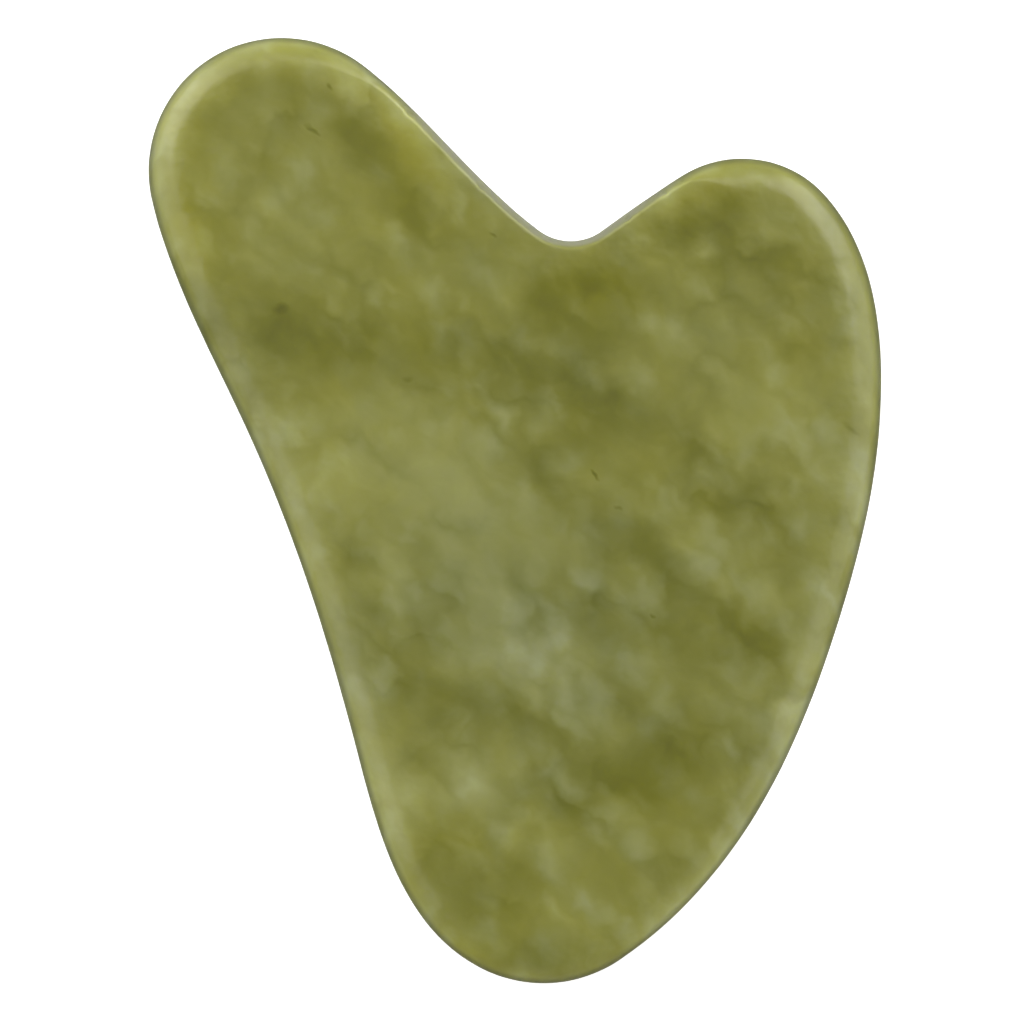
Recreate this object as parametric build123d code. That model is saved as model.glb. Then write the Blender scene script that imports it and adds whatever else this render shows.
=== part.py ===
from build123d import *

import os
from math import cos, radians, sin

# Heart-shaped gua sha scraper: one plate of jade, flat on both faces and rounded all round its rim.
#
# The plate lies flat, with its lower face on Z = 0 and its tip pointing along -Y. The origin is under
# the middle of its length and width. Going clockwise from the top left, its outline is a narrow lobe,
# a notch, a broad lobe with a cheek, one long edge, a rounded tip, and a second long edge that is
# hollow. The lobes, the notch and the tip are arcs. The edges between them are splines that leave
# each arc along its tangent, so that nothing on the rim can catch the skin.
#
# The rim is half an ellipse in section. The ellipse is broad along the working edges. It closes to a
# steep wall with a crisp corner in the notch and along the notch's flanks, where a grinding wheel has
# little room.

# Overall sizes, in millimetres.
LENGTH = 80.0  # along Y
WIDTH = 62.0  # along X
THICKNESS = 6.0  # along Z

# The narrow lobe touches the top and the left side. Spans are in degrees, and run clockwise.
NARROW_LOBE_RADIUS = 11.3
NARROW_LOBE_SPAN = (193, 52)

# The notch, where the jaw or a finger lies.
NOTCH_RADIUS = 4.4
NOTCH_SPAN = (233, 306)
NOTCH_DEPTH = 17.2  # below the top of the narrow lobe
NOTCH_OFFSET = 4.7  # from the middle of the width, towards the broad lobe

# The broad lobe's crown, and the cheek beside it, which touches the right side.
BROAD_LOBE_RADIUS = 9.5
BROAD_LOBE_SPAN = (122, 42)
BROAD_LOBE_DROP = 10.2  # from the top of the narrow lobe down to the crown
BROAD_LOBE_INSET = 11.8  # from the cheek in to the crown's centre
CHEEK_DROP = 29.0  # from the top of the narrow lobe down to the cheek

# The tip touches the bottom.
TIP_RADIUS = 11.5
TIP_SPAN = (-56, -117)
TIP_OFFSET = 2.4  # from the middle of the width, towards the broad lobe

# Where each long edge stands off the straight line between its ends: at this share of that line, by
# this many millimetres.
LONG_EDGE_BELLY = (0.36, 5.0)
HOLLOW_EDGE_HEEL = (0.32, 2.2)
HOLLOW_EDGE_WAIST = (0.70, 0.3)

# How far the rounding of the rim reaches in over each face.
WORKING_EDGE_ROUNDING = 2.8
NOTCH_ROUNDING = 0.9

# The notch's rounding runs this far along the rim from the notch's middle, and then opens into the
# working edge's over this length. Each is given towards the narrow lobe, then the broad lobe.
CRISP_RUN = (19.0, 10.0)
OPENING_RUN = (10.0, 6.0)

# How closely the rim is followed: the spacing of the stations along it, the angle between the
# sections from one face to the other, and the stretch over which the rounding's slope is taken.
STATION_SPACING = 1.5
SECTION_STEP = 15
SLOPE_STRETCH = 0.02


def arc_of(centre_x, centre_y, radius, span):
    """An arc of the outline, drawn from the first angle of its span to the second."""
    start, end = span
    return CenterArc((centre_x, centre_y), radius, start, end - start)


def stand_off(start, end, share_and_height):
    """The point at a share of the line from start to end, raised to the left of it by a height."""
    share, height = share_and_height
    line = end - start
    left = Vector(-line.Y, line.X).normalized()
    return start + line * share + left * height


def draw_outline():
    """The rim seen from above, as a list of edges that run clockwise, with the notch's arc's place."""
    top, right = LENGTH / 2, WIDTH / 2
    narrow_lobe = arc_of(
        -right + NARROW_LOBE_RADIUS, top - NARROW_LOBE_RADIUS, NARROW_LOBE_RADIUS, NARROW_LOBE_SPAN
    )
    notch = arc_of(NOTCH_OFFSET, top - NOTCH_DEPTH + NOTCH_RADIUS, NOTCH_RADIUS, NOTCH_SPAN)
    broad_lobe = arc_of(
        right - BROAD_LOBE_INSET,
        top - BROAD_LOBE_DROP - BROAD_LOBE_RADIUS,
        BROAD_LOBE_RADIUS,
        BROAD_LOBE_SPAN,
    )
    tip = arc_of(TIP_OFFSET, -top + TIP_RADIUS, TIP_RADIUS, TIP_SPAN)
    cheek = Vector(right, top - CHEEK_DROP)
    down = Vector(0, -1)
    belly = stand_off(cheek, tip @ 0, LONG_EDGE_BELLY)
    heel = stand_off(tip @ 1, narrow_lobe @ 0, HOLLOW_EDGE_HEEL)
    waist = stand_off(tip @ 1, narrow_lobe @ 0, HOLLOW_EDGE_WAIST)
    hollow_edge = Spline(
        tip @ 1, heel, waist, narrow_lobe @ 0, tangents=[tip % 1, narrow_lobe % 0]
    )
    edges = [
        narrow_lobe,
        Spline(narrow_lobe @ 1, notch @ 0, tangents=[narrow_lobe % 1, notch % 0]),
        notch,
        Spline(notch @ 1, broad_lobe @ 0, tangents=[notch % 1, broad_lobe % 0]),
        broad_lobe,
        Spline(broad_lobe @ 1, cheek, tangents=[broad_lobe % 1, down]),
        Spline(cheek, belly, tip @ 0, tangents=[down, tip % 0]),
        tip,
        hollow_edge.trim(0, 0.5),
        hollow_edge.trim(0.5, 1),
    ]
    return edges, edges.index(notch)


def smooth_step(value):
    """0 below 0 and 1 above 1, with a smooth rise between."""
    held = min(max(value, 0.0), 1.0)
    return held * held * (3 - 2 * held)


def rounding_at(offset):
    """The reach of the rounding at an offset along the rim from the notch's middle."""
    side = 0 if offset < 0 else 1
    opened = smooth_step((abs(offset) - CRISP_RUN[side]) / OPENING_RUN[side])
    return NOTCH_ROUNDING + (WORKING_EDGE_ROUNDING - NOTCH_ROUNDING) * opened


def stations_on(edge, offset_at_start, perimeter):
    """Places along one edge of the outline, each as its point, the ways forward and in, and its rounding
    with the rounding's slope."""
    count = max(2, round(edge.length / STATION_SPACING))
    stations = []
    for i in range(count + 1):
        share = i / count
        offset = offset_at_start + share * edge.length
        offset = (offset + perimeter / 2) % perimeter - perimeter / 2
        rise = rounding_at(offset + SLOPE_STRETCH / 2) - rounding_at(offset - SLOPE_STRETCH / 2)
        forward = edge % share
        inward = Vector(forward.Y, -forward.X)
        stations.append((edge @ share, forward, inward, rounding_at(offset), rise / SLOPE_STRETCH))
    return stations


def stations_round(edges, notch_index):
    """The stations of every edge of the outline, as one list for each edge."""
    perimeter = sum(edge.length for edge in edges)
    offset = -sum(edge.length for edge in edges[:notch_index]) - edges[notch_index].length / 2
    all_stations = []
    for edge in edges:
        all_stations.append(stations_on(edge, offset, perimeter))
        offset += edge.length
    return all_stations


def section_at(angle, all_stations):
    """The plate's section at the height where the rim's half ellipse has this angle, as a face."""
    height = Vector(0, 0, THICKNESS / 2 * (1 + sin(radians(angle))))
    share_in = 1 - cos(radians(angle))
    borders = []
    for stations in all_stations:
        points = [
            point + inward * (rounding * share_in) + height
            for point, _, inward, rounding, _ in stations
        ]
        ends = [
            forward + inward * (slope * share_in)
            for _, forward, inward, _, slope in (stations[0], stations[-1])
        ]
        borders.append(Spline(*points, tangents=ends))
    return Face(Wire(borders))


def make_plate():
    """The whole scraper, lofted from its lower face to its upper face through the rim."""
    edges, notch_index = draw_outline()
    all_stations = stations_round(edges, notch_index)
    sections = [section_at(angle, all_stations) for angle in range(-90, 91, SECTION_STEP)]
    return loft(sections)


os.makedirs("parts", exist_ok=True)
plate = make_plate()
export_step(plate, "parts/jade_plate.step")
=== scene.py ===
from math import cos, pi, radians, sin, tan

import bmesh
import bpy
from mathutils import Matrix, Vector, noise
from mathutils.kdtree import KDTree


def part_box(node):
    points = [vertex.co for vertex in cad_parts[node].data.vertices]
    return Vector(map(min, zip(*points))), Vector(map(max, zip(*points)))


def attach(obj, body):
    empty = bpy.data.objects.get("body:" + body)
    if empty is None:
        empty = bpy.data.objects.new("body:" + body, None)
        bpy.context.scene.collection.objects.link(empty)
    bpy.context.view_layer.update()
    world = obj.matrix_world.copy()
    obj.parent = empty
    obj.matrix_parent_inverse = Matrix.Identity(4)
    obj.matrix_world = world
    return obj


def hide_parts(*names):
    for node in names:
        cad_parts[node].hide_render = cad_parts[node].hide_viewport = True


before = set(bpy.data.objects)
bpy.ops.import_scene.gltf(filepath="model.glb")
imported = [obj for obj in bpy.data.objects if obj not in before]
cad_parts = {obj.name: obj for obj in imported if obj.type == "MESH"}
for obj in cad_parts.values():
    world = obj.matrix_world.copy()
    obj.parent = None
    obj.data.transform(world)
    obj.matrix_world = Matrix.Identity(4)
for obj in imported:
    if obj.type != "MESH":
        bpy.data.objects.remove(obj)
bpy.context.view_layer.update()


# ------------------------------------------------------------------------------------------------
# The jade plate is the whole scraper. It is sawn from a slab of green stone, ground to its outline
# on a wheel, then rounded by hand, tumbled and buffed, so its rim is never quite even.
# ------------------------------------------------------------------------------------------------
MM = 0.001  # the plate is drawn in millimetres, and scaled to metres when its mesh is done
low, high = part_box("jade_plate")
middle_x, middle_y = (low.x + high.x) / 2 / MM, (low.y + high.y) / 2 / MM
left, right = low.x / MM, high.x / MM
bottom, top = low.y / MM, high.y / MM
half_thickness = (high.z - low.z) / 2 / MM

NARROW_LOBE_RADIUS = 11.3
NOTCH_RADIUS = 4.4
NOTCH_DEPTH = 17.2  # below the top of the narrow lobe
NOTCH_OFFSET = 4.7  # from the middle of the width, towards the broad lobe
BROAD_LOBE_RADIUS = 9.5
BROAD_LOBE_DROP = 10.2  # from the top of the narrow lobe down to the crown
BROAD_LOBE_INSET = 11.8  # from the right edge in to the crown's centre
CHEEK_DROP = 29.0  # from the top of the narrow lobe down to the widest point of the right edge
LONG_EDGE_BELLY = (3.4, 48.7)  # in from the right edge, and down from the top
TIP_RADIUS = 11.5
TIP_OFFSET = 2.4  # from the middle of the width, towards the broad lobe
HOLLOW_EDGE_HEEL = (17.2, 21.2)  # in from the left edge, and up from the tip
HOLLOW_EDGE_WAIST = (8.4, 46.6)
POINTS_IN_A_STRETCH = 80  # points of the rim between two anchors of the outline


class Outline:
    """The plate's outline as a closed curve, drawn clockwise one anchor after another."""

    def __init__(self):
        self.curve = bpy.data.curves.new("outline", "CURVE")
        self.curve.dimensions = "2D"
        self.curve.resolution_u = POINTS_IN_A_STRETCH
        self.stretch = self.curve.splines.new("BEZIER")
        self.stretch.use_cyclic_u = True
        self.anchors = 0

    def anchor(self, x, y, heading, before, after):
        """A point of the outline, the direction it is passed in, and the pull of its two handles."""
        if self.anchors:
            self.stretch.bezier_points.add(1)
        point = self.stretch.bezier_points[-1]
        way = Vector((cos(radians(heading)), sin(radians(heading)), 0))
        point.co = Vector((x, y, 0))
        point.handle_left = point.co - way * before
        point.handle_right = point.co + way * after
        self.anchors += 1

    def arc(self, x, y, radius, start, end, before, after, pieces):
        """A round stretch about a centre, from one angle to another, with the pull at its two ends."""
        step = (end - start) / pieces
        pull = abs(4 / 3 * tan(radians(step / 4)) * radius)
        for i in range(pieces + 1):
            angle = start + step * i
            self.anchor(
                x + radius * cos(radians(angle)),
                y + radius * sin(radians(angle)),
                angle + (90 if step > 0 else -90),
                pull if i else before,
                pull if i < pieces else after,
            )

    def points(self):
        """The finished curve's points, in order."""
        drawn = bpy.data.objects.new("outline", self.curve)
        bpy.context.collection.objects.link(drawn)
        mesh = bpy.data.meshes.new_from_object(drawn)
        points = [vertex.co.copy() for vertex in mesh.vertices]
        bpy.data.objects.remove(drawn)
        bpy.data.curves.remove(self.curve)
        bpy.data.meshes.remove(mesh)
        return points


# The narrow lobe, the notch, the broad lobe with its cheek, the long right edge, the tip and the hollow
# left edge, one after another.
outline = Outline()
lobe_x, lobe_y = left + NARROW_LOBE_RADIUS, top - NARROW_LOBE_RADIUS
outline.arc(lobe_x, lobe_y, NARROW_LOBE_RADIUS, start=193, end=52, before=6.8, after=6.8, pieces=2)
notch_middle = Vector((middle_x + NOTCH_OFFSET, top - NOTCH_DEPTH, 0))
notch_x, notch_y = notch_middle.x, notch_middle.y + NOTCH_RADIUS
outline.arc(notch_x, notch_y, NOTCH_RADIUS, start=233, end=306, before=6.8, after=2.8, pieces=1)
lobe_x, lobe_y = right - BROAD_LOBE_INSET, top - BROAD_LOBE_DROP - BROAD_LOBE_RADIUS
outline.arc(lobe_x, lobe_y, BROAD_LOBE_RADIUS, start=122, end=42, before=2.8, after=4.8, pieces=1)
outline.anchor(right, top - CHEEK_DROP, heading=-90, before=6.8, after=7.2)
belly_x, belly_y = right - LONG_EDGE_BELLY[0], top - LONG_EDGE_BELLY[1]
outline.anchor(belly_x, belly_y, heading=-107.1, before=6.6, after=11.5)
tip_x, tip_y = middle_x + TIP_OFFSET, bottom + TIP_RADIUS
outline.arc(tip_x, tip_y, TIP_RADIUS, start=-56, end=-117, before=12.7, after=7.9, pieces=1)
heel_x, heel_y = left + HOLLOW_EDGE_HEEL[0], bottom + HOLLOW_EDGE_HEEL[1]
outline.anchor(heel_x, heel_y, heading=104.8, before=8.0, after=9.2)
waist_x, waist_y = left + HOLLOW_EDGE_WAIST[0], bottom + HOLLOW_EDGE_WAIST[1]
outline.anchor(waist_x, waist_y, heading=114.6, before=9.3, after=7.1)
rim_points = outline.points()

# A last point that lies on the first one is dropped, because the rim is closed anyway.
if (rim_points[0] - rim_points[-1]).length < 0.001:
    rim_points.pop()
count = len(rim_points)


def smooth_step(value):
    """0 below 0 and 1 above 1, with a smooth rise between."""
    held = min(max(value, 0.0), 1.0)
    return held * held * (3 - 2 * held)


# How far each point lies along the rim from the notch's middle, less than 0 towards the narrow lobe.
nearest = min(range(count), key=lambda i: (rim_points[i] - notch_middle).length)
along = [0.0]
for i in range(count):
    along.append(along[-1] + (rim_points[(i + 1) % count] - rim_points[i]).length)
perimeter = along.pop()
offsets = [(a - along[nearest] + perimeter / 2) % perimeter - perimeter / 2 for a in along]

# The rounding is narrow in the notch, where the wheel can't follow, and opens to its full width on the
# working edges. The wheel's chatter makes it up to a seventh broader or narrower as it goes round.
WORKING_EDGE_ROUNDING = 2.8
NOTCH_ROUNDING = 0.9
CRISP_RUN = (19.0, 10.0)  # narrow for this far from the notch's middle, to the narrow and the broad lobe
OPENING_RUN = (10.0, 6.0)  # opening over this length after it
REFLECTION_SHORT = 5.0  # how far before the crisp run's end the painted notch reflection starts to fade
REFLECTION_FADE = 7.0
CHATTER = ((4.0, 0.12), (1.5, 0.015))  # length of a wave, and share of the rounding
inward, reaches, painted_notch_reflection = [], [], []
for i, point in enumerate(rim_points):
    forward = (rim_points[(i + 1) % count] - rim_points[i - 1]).normalized()
    inward.append(Vector((forward.y, -forward.x, 0)))
    lobe = 0 if offsets[i] < 0 else 1
    past = abs(offsets[i]) - CRISP_RUN[lobe]
    opened = smooth_step(past / OPENING_RUN[lobe])
    # Painted reflection on the notch's walls: full along the crisp run, fading after it.
    painted_notch_reflection.append(1 - smooth_step((past + REFLECTION_SHORT) / REFLECTION_FADE))
    chatter = sum(noise.noise(point / length) * share for length, share in CHATTER)
    rounding = NOTCH_ROUNDING + (WORKING_EDGE_ROUNDING - NOTCH_ROUNDING) * opened
    reaches.append(rounding * (1 + chatter))

# The upper half grows from the middle of the rim to the flat face, one row of faces at a time. A narrow
# flat row comes last, and keeps the rounding's shading off the flat face.
ROWS = 13
FLAT_BORDER = 0.35
bm = bmesh.new()
row = [bm.verts.new(point + Vector((0, 0, half_thickness))) for point in rim_points]
ring = [bm.edges.new((row[i], row[(i + 1) % count])) for i in range(count)]
for k in range(1, ROWS + 2):
    angle = pi / 2 * min(k / ROWS, 1)
    extra = FLAT_BORDER if k > ROWS else 0
    grown = bmesh.ops.extrude_edge_only(bm, edges=ring)["geom"]
    ring = [item for item in grown if isinstance(item, bmesh.types.BMEdge)]
    fresh = {item for item in grown if isinstance(item, bmesh.types.BMVert)}
    row = [next(e.other_vert(v) for e in v.link_edges if e.other_vert(v) in fresh) for v in row]
    for i, vertex in enumerate(row):
        vertex.co = rim_points[i] + inward[i] * (reaches[i] * (1 - cos(angle)) + extra)
        vertex.co.z = half_thickness * (1 + sin(angle))

# The flat face is cut into a grid, so that it can take the slight waviness of buffing by hand.
GRID = 1.2
flat = [bm.faces.new(row)]
flat += list(flat[0].edges) + list(flat[0].verts)
for axis, start, end in ((0, left, right), (1, bottom, top)):
    normal = Vector((1, 0, 0)) if axis == 0 else Vector((0, 1, 0))
    for i in range(1, int((end - start) / GRID)):
        cut = bmesh.ops.bisect_plane(
            bm, geom=flat, dist=0.0001, plane_co=normal * (start + GRID * i), plane_no=normal
        )
        flat = cut["geom"]

# The lower half is the same form turned over.
bmesh.ops.mirror(
    bm,
    geom=bm.verts[:] + bm.edges[:] + bm.faces[:],
    matrix=Matrix.Translation((0, 0, -half_thickness)),
    merge_dist=0.001,
    axis="Z",
)
bmesh.ops.remove_doubles(bm, verts=bm.verts, dist=0.0005)
bmesh.ops.recalc_face_normals(bm, faces=bm.faces)

# Two values are kept at each place for the stone's colour: how far in from the rim it lies, and how much
# painted reflection of the white room the notch's walls take there, which is only in the notch.
places = KDTree(count)
for i, point in enumerate(rim_points):
    places.insert(point, i)
places.balance()
depth = bm.verts.layers.float.new("depth")
notch_reflection_layer = bm.verts.layers.float.new("painted_notch_reflection")
for vertex in bm.verts:
    _, i, vertex[depth] = places.find((vertex.co.x, vertex.co.y, 0))
    vertex[notch_reflection_layer] = painted_notch_reflection[i]

# Small chips break the notch's crisp corners, above and a little smaller below: how far along the rim from
# the notch's middle each one lies, and its size.
CHIPS = ((-17.3, 0.50), (-14.2, 0.30), (-8.6, 0.45), (-4.4, 0.30), (4.9, 0.40), (8.8, 0.45), (10.6, 0.28))
CHIP_DEPTH = 0.22  # share of the chip's size
CHIP_GRAIN = 0.2  # size of the broken stone's roughness
CORNER_INSET = 0.55  # how far in the corner is at its crispest, as a share of the rounding
UPPER_CORNER, LOWER_CORNER = 1.93, 0.07  # heights, in half thicknesses
chips = []
for offset, size in CHIPS:
    i = min(range(count), key=lambda j: abs(offsets[j] - offset))
    corner = rim_points[i] + inward[i] * (reaches[i] * CORNER_INSET)
    chips.append((corner + Vector((0, 0, half_thickness * UPPER_CORNER)), size))
    corner = corner + inward[i] * 0.1
    chips.append((corner + Vector((0, 0, half_thickness * LOWER_CORNER)), size * 0.8))

# Buffing by hand leaves the whole surface gently wavy.
WAVES = ((9.0, 0.025), (2.2, 0.012))  # length and depth
bm.normal_update()
moves = []
for vertex in bm.verts:
    place = vertex.co
    sink = sum(wave_depth_and_painted_rim_shade * (1 + noise.noise(place / length)) for length, wave_depth_and_painted_rim_shade in WAVES)
    for corner, size in chips:
        near = (place - corner).length / size
        if near < 1:
            broken = 1 + 0.5 * noise.noise(place / CHIP_GRAIN)
            sink += CHIP_DEPTH * size * (1 - near * near) * broken
    moves.append((vertex, vertex.normal * -sink))
for vertex, move in moves:
    vertex.co += move

for face in bm.faces:
    face.smooth = True
bmesh.ops.scale(bm, vec=(MM, MM, MM), verts=bm.verts)
plate_mesh = bpy.data.meshes.new("jade_scraper")
bm.to_mesh(plate_mesh)
bm.free()
plate = bpy.data.objects.new("jade_scraper", plate_mesh)
bpy.context.collection.objects.link(plate)
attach(plate, "root")
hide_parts("jade_plate")


# Polished serpentine jade, a stone of felted fibres that light enters and clouds. Its sawn face is
# tumbled and buffed, which gives a soft gloss, and thin edges let a yellow green light through.
def linear(colour):
    """An sRGB hex colour as linear red, green, blue and alpha."""
    parts = [int(colour[i : i + 2], 16) / 255 for i in (0, 2, 4)]
    return [p / 12.92 if p <= 0.04045 else ((p + 0.055) / 1.055) ** 2.4 for p in parts] + [1.0]


jade = bpy.data.materials.new("polished_jade")
jade.use_nodes = True
tree = jade.node_tree
tree.nodes.clear()


def add(kind, inputs, **settings):
    """A node of this kind, with its settings, and its inputs set to a value or linked to a socket."""
    node = tree.nodes.new(kind)
    for name, value in settings.items():
        setattr(node, name, value)
    for name, value in inputs.items():
        if isinstance(value, bpy.types.NodeSocket):
            tree.links.new(value, node.inputs[name])
        else:
            node.inputs[name].default_value = value
    return node


place = add("ShaderNodeTexCoord", {}).outputs["Object"]
place = add("ShaderNodeVectorMath", {0: place, "Scale": 1 / MM}, operation="SCALE").outputs[0]

# The rock was folded while it was soft, so the patterns are read through bends: the clouds through all
# three, the placed patches through the two smaller ones, and the fissures through the smallest.
BENDS = ((3.0, 8.0), (1.2, 3.0), (0.35, 0.9))  # how far each one bends, and over what length
GREY_NOISE = (0.5, 0.5, 0.5)  # the middle of a noise's three values
bends = []
for reach, size in BENDS:
    bend = add("ShaderNodeTexNoise", {"Vector": place, "Scale": 1 / size, "Detail": 1.0}).outputs["Color"]
    bend = add("ShaderNodeVectorMath", {0: bend, 1: GREY_NOISE}, operation="SUBTRACT").outputs[0]
    bend = add("ShaderNodeVectorMath", {0: bend, "Scale": 2 * reach}, operation="SCALE").outputs[0]
    bends.append(bend)
ragged = add("ShaderNodeVectorMath", {0: place, 1: bends[1]}, operation="ADD").outputs[0]
ragged = add("ShaderNodeVectorMath", {0: ragged, 1: bends[2]}, operation="ADD").outputs[0]
folded = add("ShaderNodeVectorMath", {0: ragged, 1: bends[0]}, operation="ADD").outputs[0]

# Paleness counts up from 0, dark olive, to 1, pale green, and greyness from 0, a yellow green, to 1, a grey
# green. They start with the larger patches: centre (mm), half length, half width, turn (degrees), and the
# paleness and greyness that each one brings.
PATCHES = (
    (-19.5, 15.0, 7.5, 3.2, -12, -0.27, -0.10),
    (-9.5, 13.4, 6.0, 2.4, -8, -0.20, -0.05),
    (-1.0, 11.3, 3.5, 2.2, -25, -0.14, 0.00),
    (5.5, 9.5, 6.0, 4.0, -35, -0.26, 0.15),
    (6.0, 18.0, 5.2, 2.8, 0, -0.36, -0.60),
    (13.5, 6.5, 5.5, 2.2, -40, -0.14, 0.05),
    (18.0, 1.8, 6.0, 1.9, -35, -0.08, 0.05),
    (23.5, -2.0, 4.0, 1.7, -30, -0.12, 0.00),
    (9.5, -1.5, 5.0, 1.7, -40, -0.18, 0.15),
    (14.0, -6.0, 4.5, 1.6, -40, -0.14, 0.10),
    (19.5, -10.8, 5.0, 2.6, -35, -0.20, -0.10),
    (-5.0, -16.3, 6.5, 2.3, -12, -0.21, 0.10),
    (-12.3, -10.8, 3.4, 3.0, -60, -0.16, 0.05),
    (12.5, -21.5, 6.5, 3.6, 10, -0.22, -0.05),
    (-4.5, -31.0, 5.5, 2.6, -52, -0.16, 0.00),
    (1.5, -37.5, 3.5, 2.0, -10, -0.12, 0.00),
    (16.5, 24.2, 3.6, 3.0, 0, -0.24, -0.15),
    (21.5, 19.0, 4.0, 3.6, 0, -0.15, 0.05),
    (-13.0, 31.0, 5.5, 2.2, -50, -0.14, 0.00),
    (-9.5, 26.5, 4.5, 2.2, -55, -0.10, 0.00),
    (-18.0, 27.0, 6.0, 5.0, 0, 0.10, 0.15),
    (-15.5, 22.6, 5.0, 2.6, 0, 0.08, 0.05),
    (-14.5, 3.5, 5.5, 6.0, 0, 0.22, 0.05),
    (-6.0, 3.5, 6.0, 5.0, -40, 0.22, 0.10),
    (-4.0, -2.5, 6.0, 4.0, -30, 0.16, 0.10),
    (1.0, -11.5, 6.5, 4.5, -15, 0.22, 0.15),
    (0.4, -12.0, 2.6, 1.8, 0, 0.10, 0.15),
    (1.0, -9.0, 17.0, 13.0, -40, 0.00, 0.60),
    (-4.0, 27.0, 26.0, 13.0, 0, 0.00, -0.20),
    (-10.2, -6.0, 3.9, 2.4, -60, 0.28, 0.10),
    (16.0, 10.0, 3.6, 2.0, -40, -0.16, 0.00),
    (0.5, 2.0, 3.0, 2.0, -40, 0.12, 0.10),
    (4.0, -22.0, 3.0, 2.2, -30, 0.18, 0.00),
    (6.5, 14.2, 4.0, 1.8, -10, -0.14, 0.00),
    (3.5, -3.0, 5.0, 3.0, -40, 0.10, 0.05),
    (-3.6, -23.2, 4.0, 3.0, 0, 0.28, 0.30),
    (-3.3, -23.0, 1.9, 1.5, 0, 0.14, 0.15),
    (-9.8, -23.5, 3.0, 3.5, 0, 0.17, 0.05),
    (20.5, 8.5, 6.0, 4.0, -40, 0.18, 0.00),
    (13.5, 14.5, 4.0, 2.6, -40, 0.12, 0.00),
    (18.5, -5.0, 6.5, 2.6, -35, 0.16, 0.10),
    (24.5, 4.0, 4.0, 5.0, 0, 0.14, 0.00),
    (-3.0, 19.8, 6.0, 2.6, 0, 0.10, 0.05),
    (5.5, -32.5, 6.0, 4.0, -10, 0.14, 0.00),
    (2.5, -27.0, 4.0, 2.5, 0, 0.08, 0.00),
    (15.7, 22.0, 1.3, 1.0, 0, 0.36, 0.25),
    (23.3, -17.0, 1.3, 1.0, 0, 0.30, 0.00),
)
SPREAD = 1.5  # a patch fades to nothing at this many times its half length and half width
PATCH_THICKNESS = 5.5  # and this far down from the top of the plate
paleness, greyness = 0.5, 0.5
for x, y, half_length, half_width, turn, pale, grey in PATCHES:
    patch = add(
        "ShaderNodeMapping",
        {
            "Vector": ragged,
            "Location": (x, y, 2 * half_thickness),
            "Rotation": (0, 0, radians(turn)),
            "Scale": (half_length * SPREAD, half_width * SPREAD, PATCH_THICKNESS),
        },
        vector_type="TEXTURE",
    ).outputs[0]
    patch = add("ShaderNodeTexGradient", {"Vector": patch}, gradient_type="SPHERICAL").outputs["Fac"]
    patch = add("ShaderNodeMapRange", {0: patch}, interpolation_type="SMOOTHSTEP").outputs[0]
    paleness = add("ShaderNodeMath", {0: patch, 1: pale, 2: paleness}, operation="MULTIPLY_ADD").outputs[0]
    greyness = add("ShaderNodeMath", {0: patch, 1: grey, 2: greyness}, operation="MULTIPLY_ADD").outputs[0]

# Clouds from 12 mm down to 0.5 mm across, drawn out to twice their width along the rock's folds, which run
# down to the right: width (mm), detail and paleness of each size.
FOLD_TURN = radians(35)
CLOUDS = ((12.0, 1.0, 0.10), (5.0, 2.0, 0.13), (1.8, 2.0, 0.18), (0.5, 1.0, 0.04))
grain = add("ShaderNodeMapping", {"Vector": folded, "Rotation": (0, 0, FOLD_TURN)}).outputs[0]
grain = add("ShaderNodeVectorMath", {0: grain, 1: (0.5, 1.0, 1.0)}, operation="MULTIPLY").outputs[0]
for size, detail, pale in CLOUDS:
    cloud = add("ShaderNodeTexNoise", {"Vector": grain, "Scale": 1 / size, "Detail": detail}).outputs["Fac"]
    cloud = add("ShaderNodeMath", {0: cloud, 1: 0.5}, operation="SUBTRACT").outputs[0]
    paleness = add("ShaderNodeMath", {0: cloud, 1: pale, 2: paleness}, operation="MULTIPLY_ADD").outputs[0]

# Overlapping tufts of fibre 4.2 mm and 2.2 mm across, which lean through the plate: each one is palest
# in the middle and stops short at a scalloped lower right edge, crisper in some places of about 7 mm than
# in others.
TUFTS = ((4.2, 0.20), (2.2, 0.22))  # width (mm) and paleness
TUFT_LEAN = radians(40)
TUFT_SLOPE = (0.38, -0.24, 0)  # how fast a tuft pales towards its lower right edge
TUFT_EDGE = 0.36  # where a tuft is neither paler nor darker than the stone, in widths from its middle
crisp = add("ShaderNodeTexNoise", {"Vector": place, "Scale": 1 / 7.0, "Detail": 1.0}).outputs["Fac"]
crisp = add(
    "ShaderNodeMapRange",
    {"Value": crisp, "From Min": 0.44, "From Max": 0.62, "To Min": 0.2, "To Max": 1.1},
).outputs[0]
lean = add("ShaderNodeMapping", {"Vector": ragged, "Rotation": (TUFT_LEAN, 0, FOLD_TURN)}).outputs[0]
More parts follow.
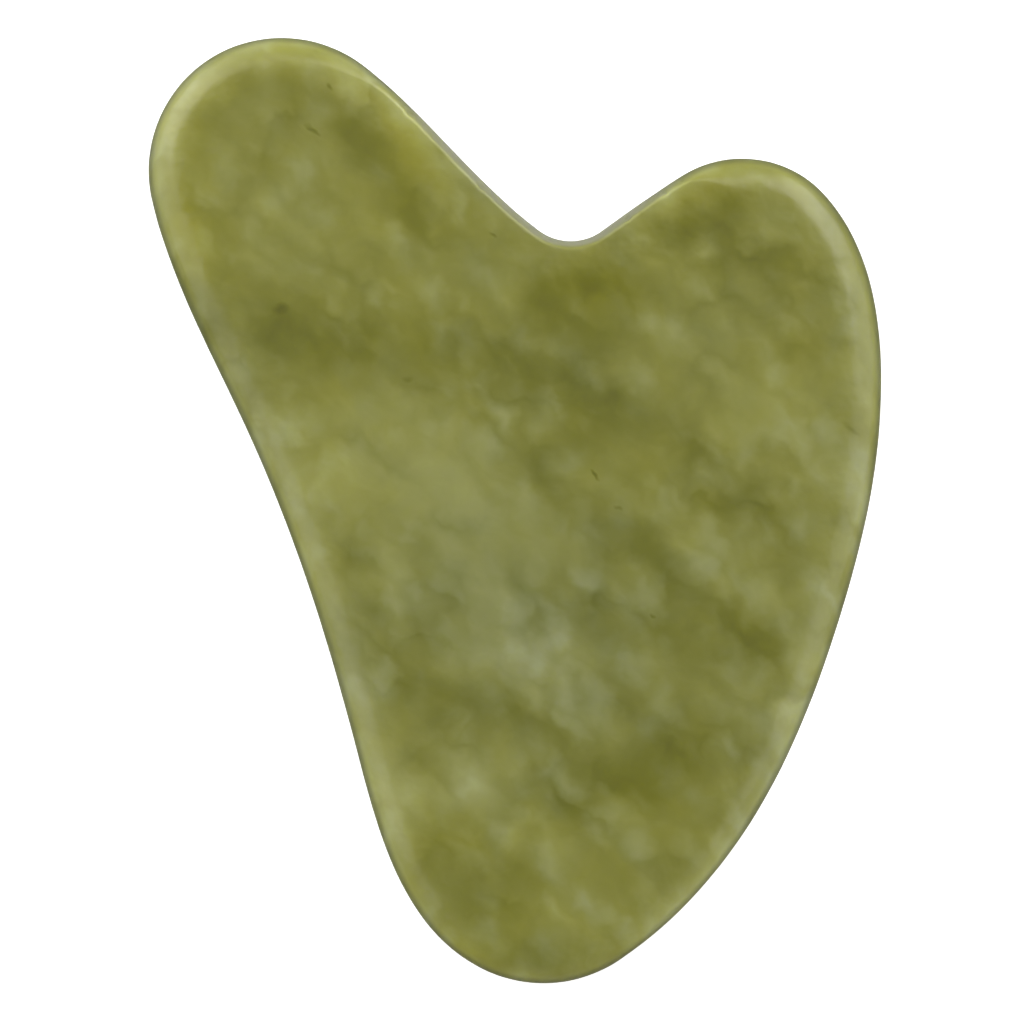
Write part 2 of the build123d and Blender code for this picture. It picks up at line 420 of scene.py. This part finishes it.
for size, pale in TUFTS:
    narrow = (0.55 / size, 1 / size, 0)
    tuft = add("ShaderNodeVectorMath", {0: lean, 1: narrow}, operation="MULTIPLY").outputs[0]
    cell = add(
        "ShaderNodeTexVoronoi",
        {"Vector": tuft, "Scale": 1.0, "Smoothness": 0.35},
        feature="SMOOTH_F1",
        voronoi_dimensions="2D",
    )
    middle = cell.outputs["Position"]
    slope = add("ShaderNodeVectorMath", {0: tuft, 1: middle}, operation="SUBTRACT").outputs[0]
    slope = add("ShaderNodeVectorMath", {0: slope, 1: TUFT_SLOPE}, operation="DOT_PRODUCT").outputs["Value"]
    slope = add("ShaderNodeMath", {0: slope, 1: crisp}, operation="MULTIPLY").outputs[0]
    tuft = add("ShaderNodeMath", {0: TUFT_EDGE, 1: cell.outputs["Distance"]}, operation="SUBTRACT").outputs[0]
    tuft = add("ShaderNodeMath", {0: tuft, 1: slope}, operation="ADD").outputs[0]
    crowd = add("ShaderNodeTexNoise", {"Vector": place, "Scale": 0.5 / size, "Detail": 0.0}).outputs["Fac"]
    crowd = add(
        "ShaderNodeMapRange",
        {"Value": crowd, "From Min": 0.38, "From Max": 0.62, "To Min": 0.3, "To Max": 1.3},
    ).outputs[0]
    tuft = add("ShaderNodeMath", {0: tuft, 1: crowd}, operation="MULTIPLY").outputs[0]
    paleness = add("ShaderNodeMath", {0: tuft, 1: pale, 2: paleness}, operation="MULTIPLY_ADD").outputs[0]

# Round puffs 3.2 mm and 1.9 mm across lie in groups between the tufts, palest and greyest in the middle.
PUFFS = ((3.2, 0.15), (1.9, 0.085))  # width (mm) and paleness
for size, pale in PUFFS:
    narrow = (0.7 / size, 1 / size, 0)
    puff = add("ShaderNodeVectorMath", {0: lean, 1: narrow}, operation="MULTIPLY").outputs[0]
    puff = add(
        "ShaderNodeTexVoronoi",
        {"Vector": puff, "Scale": 1.0, "Smoothness": 0.15},
        feature="SMOOTH_F1",
        voronoi_dimensions="2D",
    ).outputs["Distance"]
    puff = add(
        "ShaderNodeMapRange",
        {"Value": puff, "From Min": 0.0, "From Max": 0.5, "To Min": 0.75, "To Max": -0.25},
        interpolation_type="SMOOTHSTEP",
    ).outputs[0]
    crowd = add("ShaderNodeTexNoise", {"Vector": place, "Scale": 0.3 / size, "Detail": 0.0}).outputs["Fac"]
    crowd = add(
        "ShaderNodeMapRange",
        {"Value": crowd, "From Min": 0.4, "From Max": 0.6, "To Min": 0.1, "To Max": 1.3},
    ).outputs[0]
    puff = add("ShaderNodeMath", {0: puff, 1: crowd}, operation="MULTIPLY").outputs[0]
    paleness = add("ShaderNodeMath", {0: puff, 1: pale, 2: paleness}, operation="MULTIPLY_ADD").outputs[0]
    grey = 2 * pale
    greyness = add("ShaderNodeMath", {0: puff, 1: grey, 2: greyness}, operation="MULTIPLY_ADD").outputs[0]

# The stone drifts between a yellower and a greyer green over about 15 mm, and again over 4 mm.
for size, grey in ((15.0, 0.8), (4.0, 0.9)):
    drift = add("ShaderNodeTexNoise", {"Vector": folded, "Scale": 1 / size, "Detail": 1.0}).outputs["Fac"]
    drift = add("ShaderNodeMath", {0: drift, 1: 0.5}, operation="SUBTRACT").outputs[0]
    greyness = add("ShaderNodeMath", {0: drift, 1: grey, 2: greyness}, operation="MULTIPLY_ADD").outputs[0]

# Painted light at the rounded rim, added to the colour: a yellow green glow round the two lobes and the tip
# for light leaking through, a painted grey sheen along the lobes' very edge, and painted pale light on the
# two sides. Centre (mm), size, how far in it reaches (mm), and the paleness and greyness that each glow
# brings.
depth_in = add("ShaderNodeAttribute", {}, attribute_name="depth").outputs["Fac"]
PAINTED_RIM_LIGHTS = (
    (-21.0, 33.0, 18.5, 4.8, 0.34, -0.30),
    (-20.0, 33.0, 20.0, 9.0, 0.00, -0.50),
    (-18.0, 34.0, 24.0, 2.6, 0.06, 0.70),
    (-29.0, 36.0, 13.0, 3.4, 0.12, 0.30),
    (0.0, 30.0, 19.0, 3.4, 0.07, 0.10),
    (16.0, 30.0, 13.0, 4.5, 0.25, -0.50),
    (17.0, 30.0, 14.0, 2.4, 0.12, 0.60),
    (34.0, -1.0, 31.0, 6.0, 0.30, 0.15),
    (-20.0, -10.0, 32.0, 5.6, 0.34, 0.20),
    (8.0, -44.0, 24.0, 3.6, 0.22, -0.40),
    (19.5, -28.5, 15.0, 2.8, 0.36, 0.20),
)
for x, y, size, reach, pale, grey in PAINTED_RIM_LIGHTS:
    side = add(
        "ShaderNodeMapping",
        {"Vector": ragged, "Location": (x, y, half_thickness), "Scale": (size, size, size)},
        vector_type="TEXTURE",
    ).outputs[0]
    side = add("ShaderNodeTexGradient", {"Vector": side}, gradient_type="SPHERICAL").outputs["Fac"]
    side = add(
        "ShaderNodeMapRange", {"Value": side, "From Max": 0.4}, interpolation_type="SMOOTHSTEP"
    ).outputs[0]
    glow = add(
        "ShaderNodeMapRange",
        {"Value": depth_in, "From Max": reach, "To Min": side, "To Max": 0.0},
        interpolation_type="SMOOTHSTEP",
    ).outputs[0]
    # The painted rim light is added to the colour's paleness and greyness.
    paleness = add("ShaderNodeMath", {0: glow, 1: pale, 2: paleness}, operation="MULTIPLY_ADD").outputs[0]
    greyness = add("ShaderNodeMath", {0: glow, 1: grey, 2: greyness}, operation="MULTIPLY_ADD").outputs[0]

# Short dark fissures: centre (mm), half length, half width, turn (degrees), paleness taken away.
FISSURES = (
    (-15.6, 35.4, 0.25, 0.13, -50, 0.40),
    (-16.9, 31.8, 0.60, 0.15, -40, 0.40),
    (-1.8, 23.0, 0.30, 0.11, -20, 0.40),
    (6.8, 3.0, 0.45, 0.14, -60, 0.55),
    (8.6, 0.2, 0.35, 0.15, -50, 0.25),
    (28.2, 6.8, 0.70, 0.20, -35, 0.25),
    (11.6, -8.8, 0.22, 0.15, -30, 0.35),
    (-9.0, 11.0, 0.35, 0.20, 0, 0.20),
    (-19.6, 16.9, 0.50, 0.40, 20, 0.25),
)
FISSURE_SPREAD, FISSURE_DEPTH = 1.6, 1.0
for x, y, half_length, half_width, turn, dark in FISSURES:
    fissure = add("ShaderNodeVectorMath", {0: place, 1: bends[2]}, operation="ADD").outputs[0]
    fissure = add(
        "ShaderNodeMapping",
        {
            "Vector": fissure,
            "Location": (x, y, 2 * half_thickness),
            "Rotation": (0, 0, radians(turn)),
            "Scale": (half_length * FISSURE_SPREAD, half_width * FISSURE_SPREAD, FISSURE_DEPTH),
        },
        vector_type="TEXTURE",
    ).outputs[0]
    fissure = add("ShaderNodeTexGradient", {"Vector": fissure}, gradient_type="SPHERICAL").outputs["Fac"]
    paleness = add("ShaderNodeMath", {0: fissure, 1: -dark, 2: paleness}, operation="MULTIPLY_ADD").outputs[0]

# The stone's colours, from dark to pale.
YELLOW_GREENS = ("595904", "6a6a0c", "7c7b28", "8d8d43", "9e9f5d")
GREY_GREENS = ("51530a", "62641e", "74763b", "858752", "96996b")
stones = []
for colours in (YELLOW_GREENS, GREY_GREENS):
    ramp = add("ShaderNodeValToRGB", {"Fac": paleness})
    spacing = 1 / (len(colours) - 1)
    for i, colour in enumerate(colours):
        stop = ramp.color_ramp.elements[i] if i < 2 else ramp.color_ramp.elements.new(i * spacing)
        stop.position = i * spacing
        stop.color = linear(colour)
    stones.append(ramp.outputs["Color"])
colour = add(
    "ShaderNodeMix",
    {"Factor": greyness, "A": stones[0], "B": stones[1]},
    data_type="RGBA",
    clamp_factor=False,
).outputs["Result"]

# Painted shade: the outermost half millimetre, seen edge on, is darkened towards a dark olive line.
wave_depth_and_painted_rim_shade = add(
    "ShaderNodeMapRange",
    {"Value": depth_in, "From Min": 0.1, "From Max": 0.8, "To Min": 0.6, "To Max": 0.0},
    interpolation_type="SMOOTHSTEP",
).outputs[0]
colour = add(
    "ShaderNodeMix", {"Factor": wave_depth_and_painted_rim_shade, "A": colour, "B": linear("30360e")}, data_type="RGBA"
).outputs["Result"]

# Painted reflection: the notch's walls are greyed towards a light grey that stands in for the white room
# reflected in them.
painted_wall_reflection = add("ShaderNodeAttribute", {}, attribute_name="painted_notch_reflection").outputs["Fac"]
painted_wall_reflection = add(
    "ShaderNodeMapRange",
    {"Value": depth_in, "From Min": 0.5, "From Max": 0.85, "To Min": painted_wall_reflection, "To Max": 0.0},
    interpolation_type="SMOOTHSTEP",
).outputs[0]
colour = add(
    "ShaderNodeMix", {"Factor": painted_wall_reflection, "A": colour, "B": linear("85866c")}, data_type="RGBA"
).outputs["Result"]

# The buff leaves shallow dimples 2.2 mm across and up to 0.14 mm deep on the rounded rim.
DIMPLE_WIDTH, DIMPLE_DEPTH = 2.2, 0.14
rounded = add(
    "ShaderNodeMapRange",
    {"Value": depth_in, "From Min": 0.3, "From Max": 1.0},
    interpolation_type="SMOOTHSTEP",
).outputs[0]
rounded = add(
    "ShaderNodeMapRange",
    {"Value": depth_in, "From Min": 3.0, "From Max": 5.0, "To Min": rounded, "To Max": 0.0},
    interpolation_type="SMOOTHSTEP",
).outputs[0]
dimples = add(
    "ShaderNodeTexNoise", {"Vector": place, "Scale": 1 / DIMPLE_WIDTH, "Detail": 2.0}
).outputs["Fac"]
dimples = add("ShaderNodeMath", {0: dimples, 1: rounded}, operation="MULTIPLY").outputs[0]
dimples = add("ShaderNodeBump", {"Height": dimples, "Distance": DIMPLE_DEPTH * MM}).outputs[0]

# The buffed gloss is soft, and light goes about a millimetre into the stone, less far in blue.
shader = add(
    "ShaderNodeBsdfPrincipled",
    {
        "Base Color": colour,
        "Roughness": 0.32,
        "Normal": dimples,
        "IOR": 1.56,
        "Subsurface Weight": 1.0,
        "Subsurface Radius": (1.0, 1.1, 0.45),
        "Subsurface Scale": 1.0 * MM,
    },
)
add("ShaderNodeOutputMaterial", {"Surface": shader.outputs[0]})
plate_mesh.materials.append(jade)


# ------------------------------------------------------------------------------------------------
# The studio: a pale paper floor, a soft box and a wide screen on each side, a weak screen in front, and
# a camera straight above. Neither the floor nor the front screen shows in the plate's gloss, so that the
# rim keeps its thin dark outline.
# ------------------------------------------------------------------------------------------------
FLOOR_REACH = 0.6  # from the plate to the floor's sides, in metres
bm = bmesh.new()
bmesh.ops.create_grid(bm, x_segments=1, y_segments=1, size=FLOOR_REACH)
floor_mesh = bpy.data.meshes.new("floor")
bm.to_mesh(floor_mesh)
bm.free()
floor = bpy.data.objects.new("floor", floor_mesh)
bpy.context.collection.objects.link(floor)
floor.visible_glossy = False
paper = bpy.data.materials.new("white_paper")
paper.use_nodes = True
for name, value in (
    ("Base Color", linear("f6f6f6")),
    ("Roughness", 0.9),
    ("Specular IOR Level", 0.1),
    ("Emission Color", (1, 1, 1, 1)),
    ("Emission Strength", 0.5),
):
    paper.node_tree.nodes["Principled BSDF"].inputs[name].default_value = value
floor_mesh.materials.append(paper)


def soft_box(name, azimuth, elevation, distance, width, height, glow):
    """A soft box that faces the plate from a direction (degrees and metres), glowing evenly (W/m2/sr)."""
    data = bpy.data.lights.new(name, "AREA")
    data.shape = "RECTANGLE"
    data.size, data.size_y = width, height
    data.energy = glow * pi * width * height
    light = bpy.data.objects.new(name, data)
    turn, rise = radians(azimuth), radians(elevation)
    light.location = Vector((cos(rise) * cos(turn), cos(rise) * sin(turn), sin(rise))) * distance
    light.rotation_euler = (pi / 2 - rise, 0, turn + pi / 2)
    light.visible_camera = False
    bpy.context.collection.objects.link(light)
    return light


soft_box("left_soft_box", 142, 34, 0.6, 0.32, 0.72, 1.95)
soft_box("right_soft_box", 46, 34, 0.6, 0.32, 0.72, 2.3)
soft_box("left_screen", 155, 33, 0.9, 1.9, 1.5, 1.0)
soft_box("right_screen", 25, 33, 0.9, 1.9, 1.5, 1.05)
front_screen = soft_box("front_screen", -90, 50, 0.9, 1.6, 0.8, 0.75)
front_screen.visible_glossy = False

# The room is dim to the plate, and white where the camera sees past the floor.
world = bpy.data.worlds.new("studio")
world.use_nodes = True
room = world.node_tree.nodes["Background"]
room.inputs["Color"].default_value = (1, 1, 1, 1)
sight = world.node_tree.nodes.new("ShaderNodeLightPath")
strength = world.node_tree.nodes.new("ShaderNodeMapRange")
strength.inputs["To Min"].default_value = 0.2
strength.inputs["To Max"].default_value = 1.0
world.node_tree.links.new(sight.outputs["Is Camera Ray"], strength.inputs["Value"])
world.node_tree.links.new(strength.outputs["Result"], room.inputs["Strength"])
bpy.context.scene.world = world
bpy.context.scene.view_settings.view_transform = "Standard"

camera_data = bpy.data.cameras.new("camera")
camera_data.lens = 120
camera_data.sensor_width = 36
camera = bpy.data.objects.new("camera", camera_data)
VIEW_WIDTH = 86.6  # width of the view at the plate's middle height
CAMERA_OFFSET = (-0.245, -0.12)  # from the plate's middle
camera_x, camera_y = middle_x + CAMERA_OFFSET[0], middle_y + CAMERA_OFFSET[1]
camera_height = half_thickness + VIEW_WIDTH * camera_data.lens / camera_data.sensor_width
camera.location = Vector((camera_x, camera_y, camera_height)) * MM
bpy.context.collection.objects.link(camera)
bpy.context.scene.camera = camera
